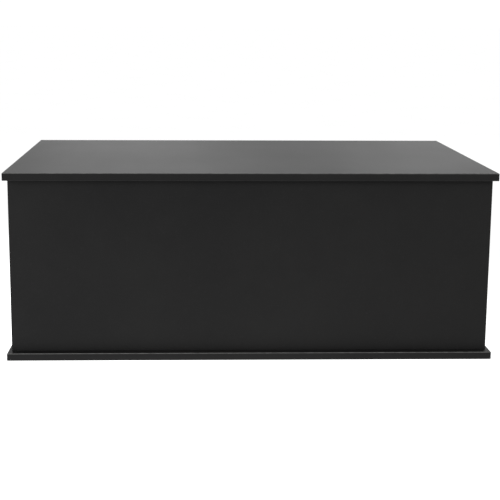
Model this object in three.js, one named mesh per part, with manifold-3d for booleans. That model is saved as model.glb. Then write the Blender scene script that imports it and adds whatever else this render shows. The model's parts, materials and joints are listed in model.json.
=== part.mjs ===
// Lift-top coffee table: a storage chest on an overhanging base board, under a lid that two
// parallel-arm lifts carry up and forward over the sitter's lap. Millimetres, +Z up, the
// front faces -Y, and the origin is on the floor under the middle of the table.

import * as THREE from "three";
import { mergeVertices } from "three/addons/utils/BufferGeometryUtils.js";
import Module from "manifold-3d";

const wasm = await Module();
wasm.setup();

// ---- Driving dimensions of the chest ----
const TABLE_LENGTH = 1020; // lid and base board, left to right
const TABLE_DEPTH = 600; // lid and base board, front to back
const TABLE_HEIGHT = 400; // floor to the top of the lid
const LID_THICKNESS = 16;
const BASE_THICKNESS = 16;
const WALL_THICKNESS = 16; // the four walls and the divider
const END_OVERHANG = 8; // lid and base board past the end walls
const FRONT_OVERHANG = 20; // lid and base board past the front and back walls
const DIVIDER_HEIGHT = 230;
const FOOT_HEIGHT = 3;
const FOOT_RADIUS = 12;
const FOOT_CHAMFER = 1;
const FOOT_INSET = 40; // foot's centre from the edges of the base board
const BUMPER_HEIGHT = 2; // rubber dot that the closed lid rests on
const BUMPER_RADIUS = 5;

// ---- Fasteners ----
const PILOT_PLAY = 0.1; // radial, round a screw's shank in its board
const SCREW_RADIUS = 1.7;
const SCREW_BITE = 12; // length of shank inside the board
const SCREW_HEAD_RADIUS = 4;
const SCREW_HEAD_HEIGHT = 2.2;
const SHEET_HOLE_RADIUS = 2.2; // screw hole through a steel sheet
const CAM_RADIUS = 7.4;
const CAM_DEPTH = 12.2;
const CAM_PLAY = 0.1; // radial, in its bore
const CAM_SETBACK = 34; // cam's centre from the end of its board
const CAM_MARGIN = 60; // cam's centre from the top and bottom of the wall
const CAM_SINK = 0.2; // cam's face below the board's face

// ---- Lift mechanism, the same at each end of the chest ----
const ARM_LENGTH = 220; // between an arm's two pivots
const ARM_WIDTH = 24;
const ARM_DEPTH = 8; // of the pressed channel section
const ARM_SHEET = 2.5;
const FOLDED_ANGLE = 12; // degrees, arm above the horizontal with the lid closed
const OPEN_ANGLE = 120; // degrees, measured the same way with the lid forward
const REAR_PIVOT_BACK = 90; // rear arm's pivot behind the front arm's
const REAR_PIVOT_DROP = 12; // and below it
const UPPER_PIVOT_DROP = 25; // front arm's upper pivot below the lid
const EAR_LENGTH = 26; // front arm's lower pivot to its spring lug
const EAR_WIDTH = 15;
const EAR_ANGLE = 252; // degrees, from the front arm round to its ear
const BRACKET_SHEET = 2;
const RAIL_STANDOFF = 1; // lid rail from the end wall
const BOSS_RADIUS = 11; // raised round the base bracket's pivots, by the rail's standoff
const FLANGE_WIDTH = 25; // of the lid rail, under the lid
const LEDGE_WIDTH = 18; // of the base bracket's lower flange
const RAIL_FRONT = 175; // lid rail ahead of the front arm's upper pivot
const RAIL_MARGIN = 28; // lid rail behind the rear arm's upper pivot
const RAIL_BACK_GAP = 26; // lid rail's rear end to the back wall
const RAIL_LIP = 15; // web height at the rail's front
const PIVOT_MARGIN = 16; // sheet left round a pivot
const SIDE_PLAY = 0.4; // between an arm and the sheet or the rivet head beside it
const RIVET_RADIUS = 4;
const RIVET_PLAY = 0.08; // radial, in the arm's hole
const RIVET_HEAD_RADIUS = 8;
const RIVET_HEAD_HEIGHT = 2.6;
const STOP_RADIUS = 5; // stud that the front arm comes to rest on
const STOP_REACH = 36; // stud along the open arm from its pivot
const STOP_GAP = 0.5;
const STUD_RADIUS = 3; // spring studs on the arm's ear and the bracket
const STUD_CAP = 1.5; // height and overhang of a stud's head
const SPRING_RADIUS = 7;
const SPRING_GAP = 1; // between the spring and the base bracket
const SPRING_WIRE = 1.1; // wire radius
const SPRING_EYE = 5; // radius of the eye's centreline
const SPRING_SHANK = 14; // eye's centre to the coils
const SPRING_ANCHOR_BACK = 130; // fixed stud behind the front arm's lower pivot
const SPRING_ANCHOR_DROP = 76;
const BRACKET_MARGIN = 10; // sheet past what it carries
const BRACKET_TAIL = 30; // sheet behind the spring's fixed stud
const CORNER_RADIUS = 6; // of the bracket's and rail's outlines

// ---- Sides of the round pieces ----
const SCREW_SIDES = 10;
const RIVET_SIDES = 16;
const PIVOT_HOLE_SIDES = 20;
const CAM_SIDES = 16;
const FOOT_SIDES = 20;
const BUMPER_SIDES = 12;
const CORNER_STEPS = 4; // facets in a sheet's rounded corner
const STRAP_STEPS = 9; // facets in an arm's rounded end

// ---- Places that follow from them ----
const LID_UNDERSIDE = TABLE_HEIGHT - LID_THICKNESS;
const BASE_TOP = FOOT_HEIGHT + BASE_THICKNESS;
const WALL_HEIGHT = LID_UNDERSIDE - BUMPER_HEIGHT - BASE_TOP;
const WALL_MIDDLE = BASE_TOP + WALL_HEIGHT / 2;
const WALL_TOP = BASE_TOP + WALL_HEIGHT;
const CHEST_LENGTH = TABLE_LENGTH - 2 * END_OVERHANG;
const CHEST_DEPTH = TABLE_DEPTH - 2 * FRONT_OVERHANG;
const INNER_LENGTH = CHEST_LENGTH - 2 * WALL_THICKNESS;
const INNER_DEPTH = CHEST_DEPTH - 2 * WALL_THICKNESS;

const radians = THREE.MathUtils.degToRad;
const pointAt = (length, degrees) =>
  new THREE.Vector2(length * Math.cos(radians(degrees)), length * Math.sin(radians(degrees)));

// Points of the folded mechanism seen from the end, as (y, z) from the front arm's lower pivot.
const REAR_STEP = new THREE.Vector2(REAR_PIVOT_BACK, -REAR_PIVOT_DROP);
const FOLDED_REACH = pointAt(ARM_LENGTH, FOLDED_ANGLE);
const SPRING_ANCHOR = new THREE.Vector2(SPRING_ANCHOR_BACK, -SPRING_ANCHOR_DROP);
const FOLDED_LUG = pointAt(EAR_LENGTH, FOLDED_ANGLE + EAR_ANGLE);
const STOP_STUD = pointAt(STOP_REACH, OPEN_ANGLE).add(
  pointAt(ARM_WIDTH / 2 + STOP_RADIUS + STOP_GAP, OPEN_ANGLE + 90),
);

// The front arm's two pivots in the table, with the lid closed.
const UPPER_PIVOT = new THREE.Vector2(
  INNER_DEPTH / 2 - RAIL_BACK_GAP - RAIL_MARGIN - REAR_PIVOT_BACK,
  LID_UNDERSIDE - UPPER_PIVOT_DROP,
);
const LOWER_PIVOT = UPPER_PIVOT.clone().sub(FOLDED_REACH);

// How far the arms' outer faces and the springs' axes stand off the end wall.
const ARM_INNER = RAIL_STANDOFF + BRACKET_SHEET + SIDE_PLAY;
const SPRING_OFFSET = BRACKET_SHEET + SPRING_GAP + SPRING_RADIUS;

// ---- Finishes ----
const finish = (color, roughness, metalness) =>
  new THREE.MeshStandardMaterial({ color, roughness, metalness });
const blackLaminate = finish(0x232323, 0.38, 0);
const blackPaintedSteel = finish(0x1b1b1d, 0.45, 0.3);
const zincPlate = finish(0xa9abae, 0.35, 0.9);
const castZinc = finish(0x8d8f92, 0.5, 0.85);
const blackPlastic = finish(0x141414, 0.6, 0);
const greyRubber = finish(0x3a3a3a, 0.75, 0);

// ---- Solid modelling helpers ----
const CUT_PAST = 1; // how far a cutting shape runs past the faces that it cuts

// A closed geometry as a manifold solid, without the empty triangles at a lathe's axis.
function toSolid(geometry) {
  const bare = geometry.index ? geometry.toNonIndexed() : geometry.clone();
  Object.keys(bare.attributes)
    .filter((name) => name !== "position")
    .forEach((name) => bare.deleteAttribute(name));
  const merged = mergeVertices(bare, 1e-4);
  const corners = [];
  for (let i = 0; i < merged.index.count; i += 3) {
    const [a, b, c] = merged.index.array.slice(i, i + 3);
    if (a !== b && b !== c && c !== a) corners.push(a, b, c);
  }
  const mesh = new wasm.Mesh({
    numProp: 3,
    vertProperties: merged.attributes.position.array,
    triVerts: Uint32Array.from(corners),
  });
  return new wasm.Manifold(mesh);
}

// A manifold solid as a three.js geometry.
function toGeometry(solid) {
  const { vertProperties, triVerts } = solid.getMesh();
  return new THREE.BufferGeometry()
    .setAttribute("position", new THREE.BufferAttribute(vertProperties, 3))
    .setIndex(new THREE.BufferAttribute(triVerts, 1));
}

const cut = (body, tools) =>
  toGeometry(tools.reduce((solid, tool) => solid.subtract(toSolid(tool)), toSolid(body)));
const join = (body, extras) =>
  toGeometry(extras.reduce((solid, extra) => solid.add(toSolid(extra)), toSolid(body)));

// Turns a shape drawn in (y, z) and extruded along its third axis so that it runs along +X.
const SHAPE_TO_X = new THREE.Matrix4().makeBasis(
  new THREE.Vector3(0, 1, 0),
  new THREE.Vector3(0, 0, 1),
  new THREE.Vector3(1, 0, 0),
);

// A flat piece of that outline, from x to x + thickness.
function plate(outline, x, thickness, curveSegments) {
  return new THREE.ExtrudeGeometry(outline, { depth: thickness, bevelEnabled: false, curveSegments })
    .applyMatrix4(SHAPE_TO_X)
    .translate(x, 0, 0);
}

// A round bar along +X, from x to x + length, about the line through (y, z).
function rodX(radius, x, length, y, z, sides) {
  return new THREE.CylinderGeometry(radius, radius, length, sides)
    .rotateZ(-Math.PI / 2)
    .translate(x + length / 2, y, z);
}

// A round bar along +Z, standing on z at (x, y).
function rodZ(radius, length, x, y, z, sides) {
  return new THREE.CylinderGeometry(radius, radius, length, sides)
    .rotateX(Math.PI / 2)
    .translate(x, y, z + length / 2);
}

// A turned piece about +Z. The profile is [radius, z] pairs from its foot to its top.
function turned(profile, sides) {
  const points = profile.map(([radius, z]) => new THREE.Vector2(radius, z));
  return new THREE.LatheGeometry(points, sides).rotateX(Math.PI / 2);
}

// An outline through these (y, z) corners, each rounded to the same radius.
function roundedOutline(corners, radius) {
  const shape = new THREE.Shape();
  const towards = (from, to) => to.clone().sub(from).setLength(radius).add(from);
  corners.forEach((corner, i) => {
    const before = corners[(i + corners.length - 1) % corners.length];
    const after = corners[(i + 1) % corners.length];
    const start = towards(corner, before);
    const end = towards(corner, after);
    if (i === 0) shape.moveTo(start.x, start.y);
    else shape.lineTo(start.x, start.y);
    shape.quadraticCurveTo(corner.x, corner.y, end.x, end.y);
  });
  shape.closePath();
  return shape;
}

// A strip along +Y with round ends, whose end centres are at y = 0 and y = length.
function strapOutline(length, halfWidth) {
  const shape = new THREE.Shape();
  shape.absarc(length, 0, halfWidth, -Math.PI / 2, Math.PI / 2, false);
  shape.absarc(0, 0, halfWidth, Math.PI / 2, (3 * Math.PI) / 2, false);
  shape.closePath();
  return shape;
}

function piece(parent, name, geometry, material, x = 0, y = 0, z = 0) {
  const mesh = new THREE.Mesh(geometry, material);
  mesh.name = name;
  mesh.position.set(x, y, z);
  parent.add(mesh);
  return mesh;
}

// ---- Fasteners and small parts ----

// Pan-head wood screw: the head's seat is at z = 0 and the shank points down.
function screwGeometry(sheet) {
  const shank = SCREW_BITE + sheet;
  const tip = 3;
  return turned(
    [
      [0, -shank],
      [SCREW_RADIUS, tip - shank],
      [SCREW_RADIUS, 0],
      [SCREW_HEAD_RADIUS, 0],
      [SCREW_HEAD_RADIUS * 0.9, SCREW_HEAD_HEIGHT * 0.6],
      [0, SCREW_HEAD_HEIGHT],
    ],
    SCREW_SIDES,
  );
}

// Round-head rivet along +X: its flush end is at x = foot and its head holds the arm on.
function rivetGeometry(foot) {
  const seat = ARM_INNER + ARM_SHEET + SIDE_PLAY;
  return turned(
    [
      [0, foot],
      [RIVET_RADIUS, foot],
      [RIVET_RADIUS, seat],
      [RIVET_HEAD_RADIUS, seat],
      [RIVET_HEAD_RADIUS * 0.85, seat + RIVET_HEAD_HEIGHT * 0.6],
      [RIVET_HEAD_RADIUS * 0.45, seat + RIVET_HEAD_HEIGHT],
      [0, seat + RIVET_HEAD_HEIGHT],
    ],
    RIVET_SIDES,
  ).rotateY(Math.PI / 2);
}

// Cam of a cam-and-dowel joint, its slotted face towards +X at x = 0.
function camGeometry() {
  const slot = 1.6;
  const slotDepth = 2.5;
  const bar = (width, height) =>
    new THREE.BoxGeometry(2 * slotDepth, width, height);
  const disc = rodX(CAM_RADIUS, -CAM_DEPTH, CAM_DEPTH, 0, 0, CAM_SIDES);
  return cut(disc, [bar(slot, CAM_RADIUS), bar(CAM_RADIUS, slot)]);
}

// Nail-on glide, flat underneath, with a rounded rim.
function footGeometry() {
  return turned(
    [
      [0, 0],
      [FOOT_RADIUS - FOOT_CHAMFER, 0],
      [FOOT_RADIUS, FOOT_CHAMFER],
      [FOOT_RADIUS, FOOT_HEIGHT],
      [0, FOOT_HEIGHT],
    ],
    FOOT_SIDES,
  );
}

// Self-adhesive rubber dot.
function bumperGeometry() {
  return turned(
    [
      [0, 0],
      [BUMPER_RADIUS, 0],
      [BUMPER_RADIUS, BUMPER_HEIGHT / 2],
      [BUMPER_RADIUS * 0.7, BUMPER_HEIGHT],
      [0, BUMPER_HEIGHT],
    ],
    BUMPER_SIDES,
  );
}

// ---- Lift mechanism pieces, in (x from the end wall, y, z) about the front arm's lower pivot ----

// The base bracket's outline and its screw places, clear of everything that turns.
const SCREW_INSET = 12;
const BRACKET_FRONT = STOP_STUD.x - STOP_RADIUS - 2 * SCREW_INSET;
const BRACKET_FLOOR = -SPRING_ANCHOR_DROP - BRACKET_MARGIN;
const BRACKET_REAR = SPRING_ANCHOR_BACK + BRACKET_TAIL;
const BRACKET_TOP = STOP_STUD.y + STOP_RADIUS + BRACKET_MARGIN;
const BRACKET_SCREWS = [
  [BRACKET_FRONT + SCREW_INSET, BRACKET_TOP - SCREW_INSET],
  [BRACKET_FRONT + SCREW_INSET, BRACKET_FLOOR + BRACKET_SHEET + SCREW_INSET],
  [BRACKET_REAR - SCREW_INSET, -REAR_PIVOT_DROP - SCREW_INSET],
  [BRACKET_REAR - SCREW_INSET, BRACKET_FLOOR + BRACKET_SHEET + SCREW_INSET],
];

// A spring stud, from x out past the spring, with a head that keeps the eye on.
function springStud(x, y, z) {
  const end = SPRING_OFFSET + 2 * SPRING_WIRE;
  return [
    rodX(STUD_RADIUS, x, end + STUD_CAP / 2 - x, y, z, SCREW_SIDES),
    rodX(STUD_RADIUS + STUD_CAP, end, STUD_CAP, y, z, SCREW_SIDES),
  ];
}

function baseBracketGeometry() {
  const rearTop = REAR_STEP.y + PIVOT_MARGIN;
  const corners = [
    [BRACKET_FRONT, BRACKET_FLOOR],
    [BRACKET_REAR, BRACKET_FLOOR],
    [BRACKET_REAR, -REAR_PIVOT_DROP],
    [REAR_STEP.x + PIVOT_MARGIN, rearTop],
    [PIVOT_MARGIN, BRACKET_TOP],
    [BRACKET_FRONT, BRACKET_TOP],
  ].map(([y, z]) => new THREE.Vector2(y, z));
  const web = plate(roundedOutline(corners, CORNER_RADIUS), 0, BRACKET_SHEET, CORNER_STEPS);
  const length = BRACKET_REAR - BRACKET_FRONT - 2 * CORNER_RADIUS;
  const ledge = new THREE.BoxGeometry(LEDGE_WIDTH, length, BRACKET_SHEET).translate(
    LEDGE_WIDTH / 2,
    (BRACKET_REAR + BRACKET_FRONT) / 2,
    BRACKET_FLOOR + BRACKET_SHEET / 2,
  );
  const boss = (y, z) =>
    rodX(BOSS_RADIUS, BRACKET_SHEET / 2, BRACKET_SHEET / 2 + RAIL_STANDOFF, y, z, PIVOT_HOLE_SIDES);
  const body = join(web, [
    ledge,
    boss(0, 0),
    boss(REAR_STEP.x, REAR_STEP.y),
    rodX(STOP_RADIUS, BRACKET_SHEET / 2, ARM_DEPTH, STOP_STUD.x, STOP_STUD.y, RIVET_SIDES),
    ...springStud(BRACKET_SHEET / 2, SPRING_ANCHOR.x, SPRING_ANCHOR.y),
  ]);
  const through = (radius, y, z, sides) => rodX(radius, -CUT_PAST, ARM_INNER + CUT_PAST, y, z, sides);
  return cut(body, [
    through(RIVET_RADIUS + RIVET_PLAY, 0, 0, PIVOT_HOLE_SIDES),
    through(RIVET_RADIUS + RIVET_PLAY, REAR_STEP.x, REAR_STEP.y, PIVOT_HOLE_SIDES),
    ...BRACKET_SCREWS.map(([y, z]) => through(SHEET_HOLE_RADIUS, y, z, SCREW_SIDES)),
  ]);
}

// Screw places along the lid rail's flange, as y from the front arm's upper pivot.
const RAIL_REAR = REAR_PIVOT_BACK + RAIL_MARGIN;
const RAIL_SCREW_X = (ARM_INNER + ARM_DEPTH + RAIL_STANDOFF + FLANGE_WIDTH) / 2;
const RAIL_SCREW_COUNT = 4;
const RAIL_SCREWS = Array.from({ length: RAIL_SCREW_COUNT }, (_, i) =>
  THREE.MathUtils.lerp(-RAIL_FRONT + SCREW_INSET, RAIL_REAR - SCREW_INSET, i / (RAIL_SCREW_COUNT - 1)),
);

// The rail's frame is the front arm's upper pivot, UPPER_PIVOT_DROP under the lid.
function lidRailGeometry() {
  const top = UPPER_PIVOT_DROP;
  const corners = [
    [-RAIL_FRONT, top],
    [-RAIL_FRONT, top - RAIL_LIP],
    [-2 * PIVOT_MARGIN, top - RAIL_LIP],
    [-PIVOT_MARGIN, -PIVOT_MARGIN],
    [REAR_STEP.x - PIVOT_MARGIN, REAR_STEP.y - PIVOT_MARGIN],
    [REAR_STEP.x + PIVOT_MARGIN, REAR_STEP.y - PIVOT_MARGIN],
    [RAIL_REAR, top - RAIL_LIP],
    [RAIL_REAR, top],
  ].map(([y, z]) => new THREE.Vector2(y, z));
  const web = plate(
    roundedOutline(corners, CORNER_RADIUS / 2),
    RAIL_STANDOFF,
    BRACKET_SHEET,
    CORNER_STEPS,
  );
  const flange = new THREE.BoxGeometry(FLANGE_WIDTH, RAIL_FRONT + RAIL_REAR, BRACKET_SHEET).translate(
    RAIL_STANDOFF + FLANGE_WIDTH / 2,
    (RAIL_REAR - RAIL_FRONT) / 2,
    top - BRACKET_SHEET / 2,
  );
  const pivotHole = (y, z) =>
    rodX(RIVET_RADIUS + RIVET_PLAY, 0, ARM_INNER, y, z, PIVOT_HOLE_SIDES);
  return cut(join(web, [flange]), [
    pivotHole(0, 0),
    pivotHole(REAR_STEP.x, REAR_STEP.y),
    ...RAIL_SCREWS.map((y) =>
      rodZ(
        SHEET_HOLE_RADIUS,
        BRACKET_SHEET + 2 * CUT_PAST,
        RAIL_SCREW_X,
        y,
        top - BRACKET_SHEET - CUT_PAST,
        SCREW_SIDES,
      ),
    ),
  ]);
}

// A pressed channel arm along +Y from its lower pivot. The front arm has a flat ear at that
// pivot, with the spring's lug on it.
function armGeometry(hasEar) {
  const strap = (length, halfWidth, x, thickness) =>
    plate(strapOutline(length, halfWidth), x, thickness, STRAP_STEPS);
  const half = ARM_WIDTH / 2;
  const channel = cut(strap(ARM_LENGTH, half, ARM_INNER, ARM_DEPTH), [
    strap(ARM_LENGTH, half - ARM_SHEET, ARM_INNER + ARM_SHEET, ARM_DEPTH),
  ]);
  const ear = [
    strap(EAR_LENGTH, EAR_WIDTH / 2, ARM_INNER, ARM_SHEET),
    ...springStud(ARM_INNER + ARM_SHEET / 2, EAR_LENGTH, 0),
  ].map((part) => part.rotateX(radians(EAR_ANGLE)));
  const hole = (y) =>
    rodX(
      RIVET_RADIUS + RIVET_PLAY,
      ARM_INNER - CUT_PAST,
      ARM_SHEET + 2 * CUT_PAST,
      y,
      0,
      PIVOT_HOLE_SIDES,
    );
  return cut(hasEar ? join(channel, ear) : channel, [hole(0), hole(ARM_LENGTH)]);
}

// Tension spring along +Y: an eye round the fixed stud at y = 0, the coils, and an eye round
// the arm's lug. Its length is the folded mechanism's.
const SPRING_LENGTH = FOLDED_LUG.distanceTo(SPRING_ANCHOR);

function springGeometry() {
  const eye = (y) =>
    new THREE.TorusGeometry(SPRING_EYE, SPRING_WIRE, 6, 14).rotateY(Math.PI / 2).translate(0, y, 0);
  const coils = SPRING_LENGTH - 2 * SPRING_SHANK;
  const along = (radius, length, sides) =>
    new THREE.CylinderGeometry(radius, radius, length, sides).translate(0, SPRING_LENGTH / 2, 0);
  return join(along(SPRING_RADIUS, coils, 16), [
    along(SPRING_WIRE, SPRING_LENGTH - 2 * SPRING_EYE, 8),
    eye(0),
    eye(SPRING_LENGTH),
  ]);
}

// ---- Assembly ----
const table = new THREE.Group();

function addLidAndBase() {
  const sides = [-1, 1];
  const pilots = sides.flatMap((side) =>
    RAIL_SCREWS.map((y) =>
      rodZ(
        SCREW_RADIUS + PILOT_PLAY,
        SCREW_BITE + 2 * CUT_PAST,
        side * (INNER_LENGTH / 2 - RAIL_SCREW_X),
        UPPER_PIVOT.x + y,
        -LID_THICKNESS / 2 - CUT_PAST,
        SCREW_SIDES,
      ),
    ),
  );
  const lid = cut(new THREE.BoxGeometry(TABLE_LENGTH, TABLE_DEPTH, LID_THICKNESS), pilots);
  piece(table, "lid_panel", lid, blackLaminate, 0, 0, TABLE_HEIGHT - LID_THICKNESS / 2);
  const base = new THREE.BoxGeometry(TABLE_LENGTH, TABLE_DEPTH, BASE_THICKNESS);
  piece(table, "base_panel", base, blackLaminate, 0, 0, FOOT_HEIGHT + BASE_THICKNESS / 2);
}

function addLongWalls() {
  const wallY = (CHEST_DEPTH - WALL_THICKNESS) / 2;
  for (const [name, side] of [["front", -1], ["back", 1]]) {
    const wall = new THREE.BoxGeometry(CHEST_LENGTH, WALL_THICKNESS, WALL_HEIGHT);
    piece(table, name + "_panel", wall, blackLaminate, 0, side * wallY, WALL_MIDDLE);
  }
  const divider = new THREE.BoxGeometry(WALL_THICKNESS, INNER_DEPTH, DIVIDER_HEIGHT);
  piece(table, "center_divider", divider, blackLaminate, 0, 0, BASE_TOP + DIVIDER_HEIGHT / 2);
}

function addFeetAndBumpers() {
  const rows = [["front", -1], ["back", 1]];
  const footX = TABLE_LENGTH / 2 - FOOT_INSET;
  const footY = TABLE_DEPTH / 2 - FOOT_INSET;
  const bumperX = (CHEST_LENGTH - WALL_THICKNESS) / 2;
  const bumperY = (CHEST_DEPTH - WALL_THICKNESS) / 2;
  for (const [row, alongY] of rows) {
    for (const [column, alongX] of [["left", -1], ["middle", 0], ["right", 1]]) {
      piece(table, `foot_${row}_${column}`, footGeometry(), blackPlastic, alongX * footX, alongY * footY, 0);
      if (alongX) {
        const name = `bumper_${row}_${column}`;
        piece(table, name, bumperGeometry(), greyRubber, alongX * bumperX, alongY * bumperY, WALL_TOP);
      }
    }
  }
}

// An end wall with its cams, drawn as the left one: its inner face is at x = 0.
function addEndWall(end, side) {
  const bore = (y, z) =>
    rodX(CAM_RADIUS + CAM_PLAY, -CAM_DEPTH - 2 * CAM_SINK, CAM_DEPTH + CUT_PAST, y, z, CAM_SIDES);
  const pilot = ([y, z]) =>
    rodX(
      SCREW_RADIUS + PILOT_PLAY,
      -SCREW_BITE - CUT_PAST,
      SCREW_BITE + 2 * CUT_PAST,
      LOWER_PIVOT.x + y,
      LOWER_PIVOT.y + z,
      SCREW_SIDES,
    );
  const camY = INNER_DEPTH / 2 - CAM_SETBACK;
  const cams = [-1, 1].flatMap((alongY) =>
    [BASE_TOP + CAM_MARGIN, WALL_TOP - CAM_MARGIN].map((z) => [alongY * camY, z]),
  );
  const wall = new THREE.BoxGeometry(WALL_THICKNESS, INNER_DEPTH, WALL_HEIGHT).translate(
    -WALL_THICKNESS / 2,
    0,
    WALL_MIDDLE,
  );
  const drilled = cut(wall, [...cams.map(([y, z]) => bore(y, z)), ...BRACKET_SCREWS.map(pilot)]);
  piece(end, side + "_side_panel", drilled, blackLaminate);
  cams.forEach(([y, z], i) => {
    piece(end, `cam_${side}_${i + 1}`, camGeometry(), castZinc, -CAM_SINK, y, z);
  });
}

// One lift mechanism with its screws, drawn for the left end.
function addLift(end, side) {
  const lower = new THREE.Group();
  lower.position.set(0, LOWER_PIVOT.x, LOWER_PIVOT.y);
  const upper = new THREE.Group();
  upper.position.set(0, UPPER_PIVOT.x, UPPER_PIVOT.y);
  end.add(lower, upper);

  piece(lower, side + "_base_bracket", baseBracketGeometry(), blackPaintedSteel);
  piece(upper, side + "_lid_rail", lidRailGeometry(), blackPaintedSteel);
  for (const [row, hasEar, step] of [
    ["front", true, new THREE.Vector2()],
    ["rear", false, REAR_STEP],
  ]) {
    const arm = piece(lower, `${side}_${row}_arm`, armGeometry(hasEar), blackPaintedSteel, 0, step.x, step.y);
    arm.rotation.x = radians(FOLDED_ANGLE);
    for (const [joint, place, foot] of [
      ["lower", lower, 0],
      ["upper", upper, RAIL_STANDOFF],
    ]) {
      piece(place, `${side}_${row}_${joint}_rivet`, rivetGeometry(foot), zincPlate, 0, step.x, step.y);
    }
  }

  const spring = piece(
    lower,
    side + "_spring",
    springGeometry(),
    zincPlate,
    SPRING_OFFSET,
    SPRING_ANCHOR.x,
    SPRING_ANCHOR.y,
  );
  spring.rotation.x = FOLDED_LUG.clone().sub(SPRING_ANCHOR).angle();

  BRACKET_SCREWS.forEach(([y, z], i) => {
    const screw = piece(lower, `${side}_bracket_screw_${i + 1}`, screwGeometry(BRACKET_SHEET), zincPlate);
    screw.position.set(BRACKET_SHEET, y, z);
    screw.rotation.y = Math.PI / 2;
  });
  RAIL_SCREWS.forEach((y, i) => {
    const screw = piece(upper, `${side}_rail_screw_${i + 1}`, screwGeometry(BRACKET_SHEET), zincPlate);
    screw.position.set(RAIL_SCREW_X, y, UPPER_PIVOT_DROP - BRACKET_SHEET);
    screw.rotation.x = Math.PI;
  });
}

addLidAndBase();
addLongWalls();
addFeetAndBumpers();
for (const [side, mirror] of [["left", 1], ["right", -1]]) {
  const end = new THREE.Group();
  end.position.x = (-mirror * INNER_LENGTH) / 2;
  end.scale.x = mirror;
  table.add(end);
  addEndWall(end, side);
  addLift(end, side);
}

export default table;
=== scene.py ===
"""Lift top coffee table: a black storage chest whose lid rises and comes forward on sprung arms."""

import json
import logging
import math
import random
from collections.abc import Sequence
from dataclasses import dataclass
from enum import Enum

import bmesh
import bpy
from mathutils import Matrix, Vector

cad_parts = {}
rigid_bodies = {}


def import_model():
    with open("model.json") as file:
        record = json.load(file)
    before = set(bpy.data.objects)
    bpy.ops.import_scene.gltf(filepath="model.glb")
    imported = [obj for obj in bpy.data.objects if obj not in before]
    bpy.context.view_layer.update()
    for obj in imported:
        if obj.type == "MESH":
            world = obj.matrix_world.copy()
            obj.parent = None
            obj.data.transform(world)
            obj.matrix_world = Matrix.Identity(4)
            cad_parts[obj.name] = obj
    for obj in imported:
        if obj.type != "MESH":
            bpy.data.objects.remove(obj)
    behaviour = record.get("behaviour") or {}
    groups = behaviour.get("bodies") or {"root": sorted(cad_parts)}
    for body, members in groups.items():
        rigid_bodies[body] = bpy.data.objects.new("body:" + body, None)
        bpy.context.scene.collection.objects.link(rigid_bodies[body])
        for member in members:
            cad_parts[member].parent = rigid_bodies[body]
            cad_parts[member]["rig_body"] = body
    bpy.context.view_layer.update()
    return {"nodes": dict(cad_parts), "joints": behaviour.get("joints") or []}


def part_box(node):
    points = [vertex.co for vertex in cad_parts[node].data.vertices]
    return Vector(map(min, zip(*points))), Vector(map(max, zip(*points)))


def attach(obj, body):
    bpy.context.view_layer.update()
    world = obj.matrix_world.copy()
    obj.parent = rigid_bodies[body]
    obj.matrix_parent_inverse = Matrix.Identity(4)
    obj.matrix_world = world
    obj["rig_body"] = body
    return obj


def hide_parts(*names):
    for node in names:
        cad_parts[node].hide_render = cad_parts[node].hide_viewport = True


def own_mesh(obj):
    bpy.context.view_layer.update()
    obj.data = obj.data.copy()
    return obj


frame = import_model()

LOG = logging.getLogger("lift_top_table")
MM = 0.001
WELD = 1e-6
CLOSED_RADIUS = WELD / 10
SHARP_DEGREES = 40.0
FLAT_WEIGHT = 100
SCREW_SEED = 20
WEAR_AND_HIGHLIGHT_LAYER = "edge_wear"

Pair = tuple[float, float]
Triple = tuple[float, float, float]
Colour = Triple
Profile = list[Pair]


class Side(Enum):
    """An end of the table, by the sign of its X."""

    LEFT = -1
    RIGHT = 1

    @property
    def label(self) -> str:
        """The end's name as the nodes spell it."""
        return self.name.lower()

    @property
    def inward(self) -> Vector:
        """The direction from this end towards the middle of the table."""
        return Vector((-self.value, 0, 0))


class Slot(Enum):
    """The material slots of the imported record."""

    LAMINATE = "black_laminate"
    STEEL = "black_steel"
    ZINC = "zinc_plate"
    CAST_ZINC = "cast_zinc"
    PLASTIC = "black_plastic"
    RUBBER = "grey_rubber"


# ---- Finishes ----


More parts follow.
